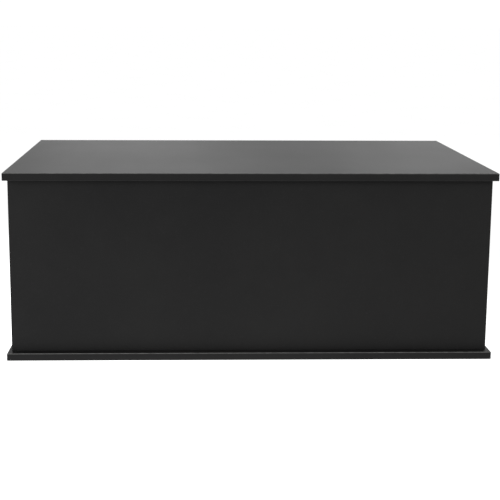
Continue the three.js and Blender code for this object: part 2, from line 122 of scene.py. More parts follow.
class NodeBench:
    """Lays out the nodes of one procedural material."""

    def __init__(self, name: str) -> None:
        """Starts a material with one Principled shader.

        Args:
            name: The material's name.
        """
        self.material = bpy.data.materials.new(name)
        self.material.use_nodes = True
        self.tree = self.material.node_tree
        self.tree.nodes.clear()
        self.shader = self.tree.nodes.new("ShaderNodeBsdfPrincipled")
        output = self.tree.nodes.new("ShaderNodeOutputMaterial")
        self.tree.links.new(self.shader.outputs["BSDF"], output.inputs["Surface"])
        self.place = self.tree.nodes.new("ShaderNodeTexCoord").outputs["Object"]

    def feed(self, node: bpy.types.Node, **inputs: object) -> None:
        """Sets or links inputs of a node.

        Args:
            node: The node to feed.
            inputs: Values or sockets by input name, with _ for a space.
        """
        for key, value in inputs.items():
            socket = node.inputs[key.replace("_", " ")]
            if isinstance(value, bpy.types.NodeSocket):
                self.tree.links.new(value, socket)
            else:
                socket.default_value = value

    def noise(
        self, scale: float, detail: float = 3.0, roughness: float = 0.5, stretch: Triple = (1, 1, 1)
    ) -> bpy.types.NodeSocket:
        """Adds a noise over the object's own coordinates.

        Args:
            scale: Grains per metre.
            detail: Octaves of finer grain.
            roughness: Share that each finer octave adds.
            stretch: Scale of each axis, which draws the grains out along the small ones.

        Returns:
            The noise's value socket.
        """
        mapping = self.tree.nodes.new("ShaderNodeMapping")
        self.feed(mapping, Vector=self.place, Scale=stretch)
        node = self.tree.nodes.new("ShaderNodeTexNoise")
        self.feed(node, Vector=mapping.outputs["Vector"], Scale=scale, Detail=detail, Roughness=roughness)
        return node.outputs["Fac"]

    def spread(
        self, value: bpy.types.NodeSocket, low: float, high: float, start: float = 0.3, end: float = 0.7
    ) -> bpy.types.NodeSocket:
        """Maps a socket's range start..end onto low..high, clamped.

        Args:
            value: The socket to map.
            low: Result at start.
            high: Result at end.
            start: Lower end of the input's range.
            end: Upper end of the input's range.

        Returns:
            The mapped value.
        """
        node = self.tree.nodes.new("ShaderNodeMapRange")
        self.feed(node, Value=value, From_Min=start, From_Max=end, To_Min=low, To_Max=high)
        return node.outputs["Result"]

    def blend(
        self,
        factor: bpy.types.NodeSocket,
        first: Colour | bpy.types.NodeSocket,
        second: Colour | bpy.types.NodeSocket,
    ) -> bpy.types.NodeSocket:
        """Mixes two colours.

        Args:
            factor: Share of the second colour.
            first: Colour or colour socket at factor 0.
            second: Colour or colour socket at factor 1.

        Returns:
            The mixed colour.
        """
        node = self.tree.nodes.new("ShaderNodeMix")
        node.data_type = "RGBA"
        colours = [socket for socket in node.inputs if socket.type == "RGBA"]
        self.tree.links.new(factor, node.inputs[0])
        for socket, colour in zip(colours, (first, second)):
            if isinstance(colour, bpy.types.NodeSocket):
                self.tree.links.new(colour, socket)
            else:
                socket.default_value = (*colour, 1.0)
        return next(socket for socket in node.outputs if socket.type == "RGBA")

    def combine(
        self, operation: str, first: bpy.types.NodeSocket, second: bpy.types.NodeSocket | float
    ) -> bpy.types.NodeSocket:
        """Adds one maths node.

        Args:
            operation: The Math node's operation.
            first: First value.
            second: Second value.

        Returns:
            The result socket.
        """
        node = self.tree.nodes.new("ShaderNodeMath")
        node.operation = operation
        for socket, value in zip(node.inputs, (first, second)):
            if isinstance(value, bpy.types.NodeSocket):
                self.tree.links.new(value, socket)
            else:
                socket.default_value = value
        return node.outputs["Value"]

    def edge_wear(self) -> bpy.types.NodeSocket:
        """The mask that the meshes of boards and pressed steel carry on their rounded edges: rubbing and
        a painted highlight on boards, worn paint on steel.

        Returns:
            The mask, from 0 on flats to 1.
        """
        node = self.tree.nodes.new("ShaderNodeAttribute")
        node.attribute_name = WEAR_AND_HIGHLIGHT_LAYER
        return node.outputs["Fac"]

    def pointiness(self) -> bpy.types.NodeSocket:
        """How far the surface bulges: over one half on outer edges, and under it in corners."""
        return self.tree.nodes.new("ShaderNodeNewGeometry").outputs["Pointiness"]

    def relief(self, height: bpy.types.NodeSocket, strength: float, depth: float) -> None:
        """Bumps the shader's surface.

        Args:
            height: The height field.
            strength: Share of the bump that shows.
            depth: Depth of the relief in metres.
        """
        node = self.tree.nodes.new("ShaderNodeBump")
        self.feed(node, Height=height, Strength=strength, Distance=depth)
        self.feed(self.shader, Normal=node.outputs["Normal"])


@dataclass(frozen=True)
class Laminate:
    """Satin near-black melamine on the boards, paler along its edges, partly from rubbing and partly from
    a painted highlight.
    """

    slot: Slot = Slot.LAMINATE
    dark: Colour = (0.0050, 0.0050, 0.0051)
    pale: Colour = (0.0080, 0.0079, 0.0078)
    speck: Colour = (0.0170, 0.0170, 0.0170)
    # Paler colour of the board edges: rubbing plus a painted highlight on the roundings.
    rubbed: Colour = (0.110, 0.109, 0.107)
    sheen_level: float = 0.072
    smooth: float = 0.515
    hazy: float = 0.545
    streak: float = 0.012
    rub: float = 0.85
    smudge: float = 0.10
    cloud_scale: float = 1.7
    wipe_scale: float = 5.0
    wipe_stretch: Triple = (1.0, 0.35, 0.35)
    smudge_scale: float = 22.0
    speck_scale: float = 420.0
    speck_range: Pair = (0.62, 0.78)
    speck_share: float = 0.5
    rub_scale: float = 60.0
    rub_range: Pair = (0.35, 0.6)
    least_rub: float = 0.55
    grain_scale: float = 2600.0
    grain_depth: float = 0.06 * MM
    grain_strength: float = 0.35

    def build(self) -> bpy.types.Material:
        """Makes the laminate's material.

        Returns:
            The material.
        """
        bench = NodeBench(self.slot.value)
        clouds = bench.noise(self.cloud_scale, detail=4, roughness=0.55)
        wiped = bench.noise(self.wipe_scale, detail=5, roughness=0.6, stretch=self.wipe_stretch)
        grain = bench.noise(self.grain_scale, detail=2)
        specks = bench.noise(self.speck_scale, detail=2)
        smudges = bench.noise(self.smudge_scale, detail=5, roughness=0.62)
        cloudy = bench.spread(clouds, 0.0, 1.0 - self.smudge)
        mottle = bench.combine("ADD", cloudy, bench.spread(smudges, -self.smudge, self.smudge))
        body = bench.blend(mottle, self.dark, self.pale)
        flecks = bench.spread(specks, 0.0, self.speck_share, *self.speck_range)
        flecked = bench.blend(flecks, body, self.speck)
        # Paler board edges: partly rubbing, partly a painted highlight on the edge roundings, broken up
        # in patches.
        patches = bench.noise(self.rub_scale, detail=4)
        patchy = bench.spread(patches, self.least_rub, 1.0, *self.rub_range)
        worn_and_highlight = bench.combine("MULTIPLY", bench.edge_wear(), patchy)
        worn_and_highlight_share = bench.combine("MULTIPLY", worn_and_highlight, self.rub)
        haze = bench.spread(wiped, -self.streak, self.streak)
        gloss = bench.combine("ADD", bench.spread(clouds, self.smooth, self.hazy), haze)
        bench.feed(
            bench.shader,
            Base_Color=bench.blend(worn_and_highlight_share, flecked, self.rubbed),
            Roughness=gloss,
            Specular_IOR_Level=self.sheen_level,
        )
        bench.relief(grain, self.grain_strength, self.grain_depth)
        return bench.material


@dataclass(frozen=True)
class PaintedSteel:
    """Semi-gloss black paint on pressed steel, thin on its edges."""

    slot: Slot = Slot.STEEL
    deep: Colour = (0.010, 0.010, 0.011)
    pale: Colour = (0.018, 0.018, 0.019)
    bare: Colour = (0.16, 0.16, 0.165)
    gloss: Pair = (0.36, 0.50)
    sheen_level: float = 0.38
    cloud_scale: float = 30.0
    peel_scale: float = 700.0
    peel_strength: float = 0.30
    peel_depth: float = 0.08 * MM
    scuff_scale: float = 160.0
    scuff_stretch: Triple = (1.0, 0.25, 1.0)
    chip_range: Pair = (0.45, 0.6)
    chip_share: float = 0.8

    def build(self) -> bpy.types.Material:
        """Makes the paint's material.

        Returns:
            The material.
        """
        bench = NodeBench(self.slot.value)
        clouds = bench.noise(self.cloud_scale, detail=3)
        peel = bench.noise(self.peel_scale, detail=2)
        scuffs = bench.noise(self.scuff_scale, detail=5, roughness=0.65, stretch=self.scuff_stretch)
        paint = bench.blend(bench.spread(clouds, 0.0, 1.0), self.deep, self.pale)
        chips = bench.spread(scuffs, 0.0, self.chip_share, *self.chip_range)
        chipped = bench.combine("MULTIPLY", bench.edge_wear(), chips)
        bench.feed(
            bench.shader,
            Base_Color=bench.blend(chipped, paint, self.bare),
            Roughness=bench.spread(scuffs, *self.gloss),
            Specular_IOR_Level=self.sheen_level,
        )
        bench.relief(peel, self.peel_strength, self.peel_depth)
        return bench.material


@dataclass(frozen=True)
class ZincPlate:
    """Bright zinc plating with a faint blue and straw passivation, darkened in its hollows by painted
    shade.
    """

    slot: Slot = Slot.ZINC
    blue: Colour = (0.56, 0.59, 0.64)
    straw: Colour = (0.64, 0.62, 0.56)
    soot: Colour = (0.10, 0.10, 0.10)
    gloss: Pair = (0.22, 0.40)
    tint_scale: float = 140.0
    drawn_scale: float = 900.0
    drawn_stretch: Triple = (1.0, 0.2, 1.0)
    drawn_strength: float = 0.20
    drawn_depth: float = 0.04 * MM
    grime_range: Pair = (0.40, 0.49)
    grime_share: float = 0.8

    def build(self) -> bpy.types.Material:
        """Makes the plating's material.

        Returns:
            The material.
        """
        bench = NodeBench(self.slot.value)
        tint = bench.noise(self.tint_scale, detail=3)
        drawn = bench.noise(self.drawn_scale, detail=4, roughness=0.6, stretch=self.drawn_stretch)
        plate = bench.blend(bench.spread(tint, 0.0, 1.0), self.blue, self.straw)
        # Painted shade: the plating darkens where pointiness falls below one half, in recesses, thread
        # roots and corners.
        hollow_shade_mask = bench.spread(bench.pointiness(), self.grime_share, 0.0, *self.grime_range)
        bench.feed(
            bench.shader,
            Base_Color=bench.blend(hollow_shade_mask, plate, self.soot),
            Metallic=1.0,
            Roughness=bench.spread(drawn, *self.gloss),
        )
        bench.relief(drawn, self.drawn_strength, self.drawn_depth)
        return bench.material


@dataclass(frozen=True)
class CastZinc:
    """Dull die-cast zinc with a fine skin."""

    slot: Slot = Slot.CAST_ZINC
    grey: Colour = (0.40, 0.40, 0.41)
    dull: Colour = (0.27, 0.27, 0.28)
    gloss: Pair = (0.42, 0.60)
    cloud_scale: float = 240.0
    skin_scale: float = 1300.0
    skin_strength: float = 0.35
    skin_depth: float = 0.08 * MM

    def build(self) -> bpy.types.Material:
        """Makes the casting's material.

        Returns:
            The material.
        """
        bench = NodeBench(self.slot.value)
        skin = bench.noise(self.skin_scale, detail=4, roughness=0.65)
        cloud = bench.noise(self.cloud_scale, detail=2)
        bench.feed(
            bench.shader,
            Base_Color=bench.blend(bench.spread(cloud, 0.0, 1.0), self.grey, self.dull),
            Metallic=1.0,
            Roughness=bench.spread(skin, *self.gloss),
        )
        bench.relief(skin, self.skin_strength, self.skin_depth)
        return bench.material


@dataclass(frozen=True)
class MouldedPlastic:
    """Hard black plastic with a spark-eroded skin, scuffed where it slides."""

    slot: Slot = Slot.PLASTIC
    black: Colour = (0.014, 0.014, 0.015)
    scuffed: Colour = (0.050, 0.050, 0.050)
    gloss: Pair = (0.42, 0.62)
    scuff_scale: float = 300.0
    scuff_stretch: Triple = (0.3, 1.0, 1.0)
    scuff_range: Pair = (0.5, 0.68)
    skin_scale: float = 2200.0
    skin_strength: float = 0.40
    skin_depth: float = 0.08 * MM

    def build(self) -> bpy.types.Material:
        """Makes the plastic's material.

        Returns:
            The material.
        """
        bench = NodeBench(self.slot.value)
        skin = bench.noise(self.skin_scale, detail=2)
        scuffs = bench.noise(self.scuff_scale, detail=5, roughness=0.7, stretch=self.scuff_stretch)
        rubbed = bench.spread(scuffs, 0.0, 1.0, *self.scuff_range)
        bench.feed(
            bench.shader,
            Base_Color=bench.blend(rubbed, self.black, self.scuffed),
            Roughness=bench.spread(scuffs, *self.gloss),
        )
        bench.relief(skin, self.skin_strength, self.skin_depth)
        return bench.material


@dataclass(frozen=True)
class SoftRubber:
    """Grey rubber of the dots that the lid rests on."""

    slot: Slot = Slot.RUBBER
    grey: Colour = (0.150, 0.150, 0.150)
    dusty: Colour = (0.230, 0.228, 0.222)
    gloss: Pair = (0.55, 0.75)
    dust_scale: float = 500.0
    skin_scale: float = 2600.0
    skin_strength: float = 0.30
    skin_depth: float = 0.06 * MM

    def build(self) -> bpy.types.Material:
        """Makes the rubber's material.

        Returns:
            The material.
        """
        bench = NodeBench(self.slot.value)
        dust = bench.noise(self.dust_scale, detail=4)
        skin = bench.noise(self.skin_scale, detail=2)
        bench.feed(
            bench.shader,
            Base_Color=bench.blend(bench.spread(dust, 0.0, 1.0), self.grey, self.dusty),
            Roughness=bench.spread(dust, *self.gloss),
        )
        bench.relief(skin, self.skin_strength, self.skin_depth)
        return bench.material


class FinishShelf:
    """Every finish of the table, made once."""

    def __init__(self) -> None:
        """Makes the materials."""
        finishes = (Laminate(), PaintedSteel(), ZincPlate(), CastZinc(), MouldedPlastic(), SoftRubber())
        self.materials = {finish.slot: finish.build() for finish in finishes}

    def dress(self, piece: bpy.types.Object, slot: Slot) -> None:
        """Gives a piece one finish.

        Args:
            piece: The piece to dress.
            slot: The material slot of the record.
        """
        piece.data.materials.clear()
        piece.data.materials.append(self.materials[slot])


# ---- Mesh making ----


def loft(
    name: str, rings: Sequence[Sequence[Vector]], wear_and_highlight: Sequence[float] | None = None
) -> bpy.types.Mesh:
    """Skins a row of equal rings into one closed mesh.

    Args:
        name: The mesh's name.
        rings: Rings of points, each counter-clockwise seen from the last ring's side.
        wear_and_highlight: Edge rubbing and painted highlight of each ring, or None where the piece
            carries none.

    Returns:
        The closed mesh, its points welded where rings collapse.
    """
    shell = bmesh.new()
    layer = shell.verts.layers.float.new(WEAR_AND_HIGHLIGHT_LAYER)
    rows = []
    for index, ring in enumerate(rings):
        row = [shell.verts.new(point) for point in ring]
        for vertex in row:
            vertex[layer] = wear_and_highlight[index] if wear_and_highlight else 0.0
        rows.append(row)
    count = len(rows[0])
    for lower, upper in zip(rows, rows[1:]):
        for i in range(count):
            j = (i + 1) % count
            shell.faces.new((lower[i], lower[j], upper[j], upper[i]))
    shell.faces.new(rows[0][::-1])
    shell.faces.new(rows[-1])
    bmesh.ops.remove_doubles(shell, verts=shell.verts, dist=WELD)
    bmesh.ops.dissolve_degenerate(shell, edges=shell.edges, dist=WELD)
    for face in shell.faces:
        face.smooth = True
    mesh = bpy.data.meshes.new(name)
    shell.to_mesh(mesh)
    shell.free()
    return mesh


def circle(radius: float, height: float, sides: int) -> list[Vector]:
    """One level ring about Z.

    Args:
        radius: Its radius.
        height: Its Z.
        sides: How many points it has.

    Returns:
        The ring's points, counter-clockwise from above.
    """
    angles = [math.tau * i / sides for i in range(sides)]
    return [Vector((radius * math.cos(a), radius * math.sin(a), height)) for a in angles]


def turned(name: str, profile: Profile, sides: int) -> bpy.types.Mesh:
    """Turns a profile about Z.

    Args:
        name: The mesh's name.
        profile: Radius and height pairs from the foot's middle to the top's middle.
        sides: How many flats the turned piece has.

    Returns:
        The closed mesh.
    """
    return loft(name, [circle(max(radius, CLOSED_RADIUS), height, sides) for radius, height in profile])


def arc(middle: Pair, radii: Pair, start: float, end: float, steps: int) -> Profile:
    """A quarter or other stretch of an ellipse, for a turned profile.

    Args:
        middle: Radius and height of the arc's middle.
        radii: Half widths along the radius and along the height.
        start: Start angle in degrees, from the outward direction.
        end: End angle in degrees.
        steps: How many steps the arc takes.

    Returns:
        The profile points.
    """
    angles = [math.radians(start + (end - start) * i / steps) for i in range(steps + 1)]
    return [(middle[0] + radii[0] * math.cos(a), middle[1] + radii[1] * math.sin(a)) for a in angles]


def sweep(name: str, path: Sequence[Vector], radius: float, sides: int) -> bpy.types.Mesh:
    """Runs a round wire along a path without twisting it.

    Args:
        name: The mesh's name.
        path: Points along the wire's middle.
        radius: The wire's radius.
        sides: How many flats the wire has.

    Returns:
        The closed wire.
    """
    last = len(path) - 1
    tangents = [(path[min(i + 1, last)] - path[max(i - 1, 0)]).normalized() for i in range(last + 1)]
    across = tangents[0].orthogonal().normalized()
    rings = []
    for i, (point, tangent) in enumerate(zip(path, tangents)):
        if i:
            across = tangents[i - 1].rotation_difference(tangent) @ across
        across = (across - tangent * across.dot(tangent)).normalized()
        up = tangent.cross(across)
        angles = [math.tau * k / sides for k in range(sides)]
        rings.append([point + radius * (across * math.cos(a) + up * math.sin(a)) for a in angles])
    return loft(name, rings)


def settle(piece: bpy.types.Object) -> None:
    """Applies a piece's modifiers to its own mesh.

    Args:
        piece: The piece, which keeps its place.
    """
    graph = bpy.context.evaluated_depsgraph_get()
    mesh = bpy.data.meshes.new_from_object(
        piece.evaluated_get(graph), preserve_all_data_layers=True, depsgraph=graph
    )
    spent = piece.data
    piece.modifiers.clear()
    piece.data = mesh
    if spent.users == 0:
        bpy.data.meshes.remove(spent)


def sharpen(mesh: bpy.types.Mesh, degrees: float = SHARP_DEGREES) -> None:
    """Marks the edges that bend more than an angle as sharp.

    Args:
        mesh: The mesh to mark.
        degrees: The angle.
    """
    mesh.set_sharp_from_angle(angle=math.radians(degrees))


def true_flats(piece: bpy.types.Object) -> None:
    """Lets the large flats of a piece shade flat and only its roundings shade round.

    Args:
        piece: The piece, whose modifiers are applied.
    """
    weighted = piece.modifiers.new("true_flats", "WEIGHTED_NORMAL")
    weighted.mode = "FACE_AREA"
    weighted.weight = FLAT_WEIGHT
    weighted.keep_sharp = True
    settle(piece)


def carve(piece: bpy.types.Object, cutter_mesh: bpy.types.Mesh, places: Sequence[Matrix]) -> None:
    """Cuts copies of a cutter out of a piece.

    Args:
        piece: The piece to cut.
        cutter_mesh: The cutter's mesh.
        places: Where each cut goes.
    """
    cutters = []
    for place in places:
        cutter = bpy.data.objects.new("cutter", cutter_mesh)
        cutter.matrix_world = place
        bpy.context.scene.collection.objects.link(cutter)
        modifier = piece.modifiers.new("carve", "BOOLEAN")
        modifier.operation = "DIFFERENCE"
        modifier.solver = "EXACT"
        modifier.object = cutter
        cutters.append(cutter)
    bpy.context.view_layer.update()
    settle(piece)
    for cutter in cutters:
        bpy.data.objects.remove(cutter)


def aim(origin: Vector, direction: Vector, spin: float = 0.0) -> Matrix:
    """A place whose Z runs along a direction.

    Args:
        origin: Where the piece's own origin goes.
        direction: Where its Z goes.
        spin: Its turn about its own Z.

    Returns:
        The place as a matrix.
    """
    turn = Vector((0, 0, 1)).rotation_difference(direction).to_matrix().to_4x4()
    return Matrix.Translation(origin) @ turn @ Matrix.Rotation(spin, 4, "Z")


class Assembler:
    """Puts finished pieces on the table's bodies and reports them."""

    def __init__(self, finishes: FinishShelf) -> None:
        """Keeps the finishes at hand.

        Args:
            finishes: The finishes to dress pieces with.
        """
        self.finishes = finishes

    def show(self, name: str, mesh: bpy.types.Mesh, place: Matrix | None = None) -> bpy.types.Object:
        """Makes an object of a mesh.

        Args:
            name: The piece's name.
            mesh: Its mesh.
            place: Where it goes, or None where the mesh is already in place.

        Returns:
            The object.
        """
        piece = bpy.data.objects.new(name, mesh)
        bpy.context.scene.collection.objects.link(piece)
        if place is not None:
            piece.matrix_world = place
        return piece

    def fit(self, piece: bpy.types.Object, node: str, slot: Slot) -> None:
        """Dresses a piece and lets it stand for a CAD node on that node's body.

        Args:
            piece: The finished piece.
            node: The node that it stands for.
            slot: Its material slot.
        """
        self.finishes.dress(piece, slot)
        body = frame["nodes"][node]["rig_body"]
        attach(piece, body)
        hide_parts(node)
        LOG.info("%s stands for %s on %s", piece.name, node, body)


def middle_of(node: str) -> Vector:
    """The middle of a CAD node's box."""
    low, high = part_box(node)
    return (low + high) / 2


def span(node: str, axis: int) -> float:
    """The length of a CAD node's box along one axis."""
    low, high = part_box(node)
    return high[axis] - low[axis]


# ---- Boards ----


@dataclass
class Board:
    """A faced board with an edge band glued round it and a fine seam where the two meet."""

    node: str
    name: str
    edge_radius: float = 0.6 * MM
    band: float = 0.8 * MM
    seam_width: float = 0.05 * MM
    seam_depth: float = 0.07 * MM
    round_steps: int = 4
    lower_wear: float = 0.12  # rubbing and painted highlight of the first face's edge over the second's

    def outline(self, low: Vector, high: Vector, axes: tuple[int, int], inset: float) -> list[Pair]:
        """The board's outline, drawn in by an inset, with its corners rounded.

        Args:
            low: The board's lowest corner.
            high: Its highest corner.
            axes: The two axes along its faces.
            inset: How far the outline is drawn in.

        Returns:
            Counter-clockwise points along the two axes.
        """
        reach = max(self.edge_radius, inset)
        radius = reach - inset
        u, v = axes
        corners = (
            (high[u] - reach, high[v] - reach, 0),
            (low[u] + reach, high[v] - reach, 90),
            (low[u] + reach, low[v] + reach, 180),
            (high[u] - reach, low[v] + reach, 270),
        )
        points = []
        for x, y, turn in corners:
            for step in range(self.round_steps + 1):
                angle = math.radians(turn + 90 * step / self.round_steps)
                points.append((x + radius * math.cos(angle), y + radius * math.sin(angle)))
        return points

    def levels(self, thickness: float) -> list[Triple]:
        """Inset, height and edge rubbing with painted highlight of each ring, from one face round the
        edge to the other.

        Args:
            thickness: The board's thickness.

        Returns:
            The rings' levels.
        """
        seam = [
            (self.band + self.seam_width, 0.0, 0.0),
            (self.band, self.seam_depth, 0.0),
            (self.band - self.seam_width, 0.0, 0.0),
        ]
        # Rubbing and painted highlight peak halfway round each rounding.
        rounding = []
        for step in range(self.round_steps + 1):
            angle = math.pi / 2 * step / self.round_steps
            rounding.append(
                (
                    self.edge_radius * (1 - math.sin(angle)),
                    self.edge_radius * (1 - math.cos(angle)),
                    math.sin(2 * angle),
                )
            )
        upper = [(inset, thickness - height, wear_and_highlight) for inset, height, wear_and_highlight in reversed(seam + rounding)]
        lower = [(inset, height, wear_and_highlight * self.lower_wear) for inset, height, wear_and_highlight in seam + rounding]
        return lower + upper

    def build(self, assembler: Assembler) -> bpy.types.Object:
        """Makes the board in place of its node.

        Args:
            assembler: Dresses the board and puts it on its body.

        Returns:
            The board.
        """
        low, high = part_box(self.node)
        size = high - low
        across = min(range(3), key=lambda axis: size[axis])
        u, v = (across + 1) % 3, (across + 2) % 3
        rings = []
        wear_and_highlight = []
        # Each ring's value drives the edge rubbing and the painted highlight.
        for inset, height, rubbed in self.levels(size[across]):
            ring = []
            for along_u, along_v in self.outline(low, high, (u, v), inset):
                point = Vector((0, 0, 0))
                point[u], point[v], point[across] = along_u, along_v, low[across] + height
                ring.append(point)
            rings.append(ring)
            wear_and_highlight.append(rubbed)
        piece = assembler.show(self.name, loft(self.name, rings, wear_and_highlight))
        true_flats(piece)
        assembler.fit(piece, self.node, Slot.LAMINATE)
        return piece


@dataclass
class Chest:
    """The boards of the chest and the lid, and the small pieces let into them or stuck on them."""

    assembler: Assembler
    slab_radius: float = 1.5 * MM
    slab_band: float = 2.0 * MM
    cams_per_end: int = 4
    cam_radius: float = 7.4 * MM
    cam_play: float = 0.15 * MM
    cam_rim: float = 1.1 * MM
    cam_dish: float = 0.5 * MM
    bore_reach: float = 1.5  # length of the bore cutter, in cam depths
    slot_width: float = 1.7 * MM
    slot_length: float = 4.2 * MM
    slot_depth: float = 2.2 * MM
    slot_taper: float = 0.85  # slot's floor over its mouth
    glide_rounding: float = 0.9 * MM
    glide_dimple: float = 0.15 * MM
    dimple_floor: float = 0.35  # share of the glide's radius
    dimple_rim: float = 0.4  # share of the glide's radius
    dot_shoulder: float = 0.3  # share of the dot's height
    dot_flat: float = 0.45  # share of the dot's radius
    turned_sides: int = 48
    glide_steps: int = 5
    dot_steps: int = 8

    def build(self) -> None:
        """Makes every board and every small piece."""
        slab = {"edge_radius": self.slab_radius, "band": self.slab_band}
        Board("lid_panel", "lid_board", **slab).build(self.assembler)
        Board("base_panel", "base_board", **slab).build(self.assembler)
        Board("front_panel", "front_wall").build(self.assembler)
        Board("back_panel", "back_wall").build(self.assembler)
        Board("center_divider", "storage_divider").build(self.assembler)
        for side in Side:
            wall = Board(f"{side.label}_side_panel", f"{side.label}_end_wall").build(self.assembler)
            self.add_cams(side, wall)
        self.add_glides()
        self.add_bumpers()

    def cam_profile(self, depth: float) -> Profile:
        """The cam's turned shape, its dished face up.

        Args:
            depth: The cam's whole depth.

        Returns:
            Radius and height pairs.
        """
        rim = self.cam_radius - self.cam_rim
        chamfer = self.cam_dish / 2
        return [
            (0, 0),
            (self.cam_radius, 0),
            (self.cam_radius, depth - chamfer),
            (self.cam_radius - chamfer, depth),
            (rim, depth),
            (rim - chamfer, depth - self.cam_dish),
            (0, depth - self.cam_dish),
        ]

    def add_cams(self, side: Side, wall: bpy.types.Object) -> None:
        """Bores one end wall and lets its cams in.

        Args:
            side: The end.
            wall: Its finished wall.
        """
        nodes = [f"cam_{side.label}_{i + 1}" for i in range(self.cams_per_end)]
        depth = span(nodes[0], 0)
        places = [aim(middle_of(node) - side.inward * depth / 2, side.inward) for node in nodes]
        radius, reach = self.cam_radius + self.cam_play, self.bore_reach * depth
        bore_profile = [(0, 0), (radius, 0), (radius, reach), (0, reach)]
        carve(wall, turned("cam_bore", bore_profile, self.turned_sides), places)
        true_flats(wall)
        cam_mesh = turned("cam", self.cam_profile(depth), self.turned_sides)
        pattern = self.assembler.show("cam_pattern", cam_mesh)
        cutter = cross_prism(self.slot_length, self.slot_width, 2 * self.slot_depth, self.slot_taper)
        carve(pattern, cutter, [Matrix.Translation((0, 0, depth - self.cam_dish - self.slot_depth))])
        sharpen(pattern.data)
        true_flats(pattern)
        for node, place in zip(nodes, places):
            cam = self.assembler.show(f"{node}_casting", pattern.data, place)
            self.assembler.fit(cam, node, Slot.CAST_ZINC)
        bpy.data.objects.remove(pattern)

    def add_glides(self) -> None:
        """Turns the six glides under the base, each with a dimple for its nail."""
        for row in ("front", "back"):
            for column in ("left", "middle", "right"):
                node = f"foot_{row}_{column}"
                radius, height = span(node, 0) / 2, span(node, 2)
                edge = self.glide_rounding
                profile = [(0, self.glide_dimple), (self.dimple_floor * radius, self.glide_dimple)]
                profile.append((self.dimple_rim * radius, 0))
                profile += arc((radius - edge, edge), (edge, edge), -90, 0, self.glide_steps)
                profile += [(radius, height), (0, height)]
                self.stand(node, f"glide_{row}_{column}", profile, Slot.PLASTIC)

    def add_bumpers(self) -> None:
        """Turns the four rubber dots on the walls' top edges."""
        for row in ("front", "back"):
            for side in Side:
                node = f"bumper_{row}_{side.label}"
                radius, height = span(node, 0) / 2, span(node, 2)
                shoulder, flat = self.dot_shoulder * height, self.dot_flat * radius
                crown = arc((flat, shoulder), (radius - flat, height - shoulder), 0, 90, self.dot_steps)
                profile = [(0, 0), (radius, 0), *crown, (0, height)]
                self.stand(node, f"dot_{row}_{side.label}", profile, Slot.RUBBER)

    def stand(self, node: str, name: str, profile: Profile, slot: Slot) -> None:
        """Turns one upright piece and stands it where its node is.

        Args:
            node: The CAD node.
            name: The piece's name.
            profile: Its radius and height pairs, from its foot up.
            slot: Its material slot.
        """
        low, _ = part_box(node)
        middle = middle_of(node)
        place = Matrix.Translation((middle.x, middle.y, low.z))
        piece = self.assembler.show(name, turned(name, profile, self.turned_sides), place)
        true_flats(piece)
        self.assembler.fit(piece, node, slot)


def cross_prism(length: float, width: float, depth: float, taper: float) -> bpy.types.Mesh:
    """A cross-shaped cutter that narrows downwards.

    Args:
        length: Half length of an arm.
        width: Width of an arm.
        depth: Height of the cutter.
        taper: Size of its foot over the size of its top.

    Returns:
        The cutter, standing on Z = 0.
    """
    half = width / 2
    quarter = [(length, -half), (length, half), (half, half)]
    rings = []
    for height, scale in ((0.0, taper), (depth, 1.0)):
        ring = []
        for turn in range(4):
            rotation = Matrix.Rotation(turn * math.pi / 2, 2)
            for corner in quarter:
                flat = rotation @ Vector(corner) * scale
                ring.append(Vector((flat.x, flat.y, height)))
        rings.append(ring)
    return loft("cross_cutter", rings)


# ---- Lift mechanism ----


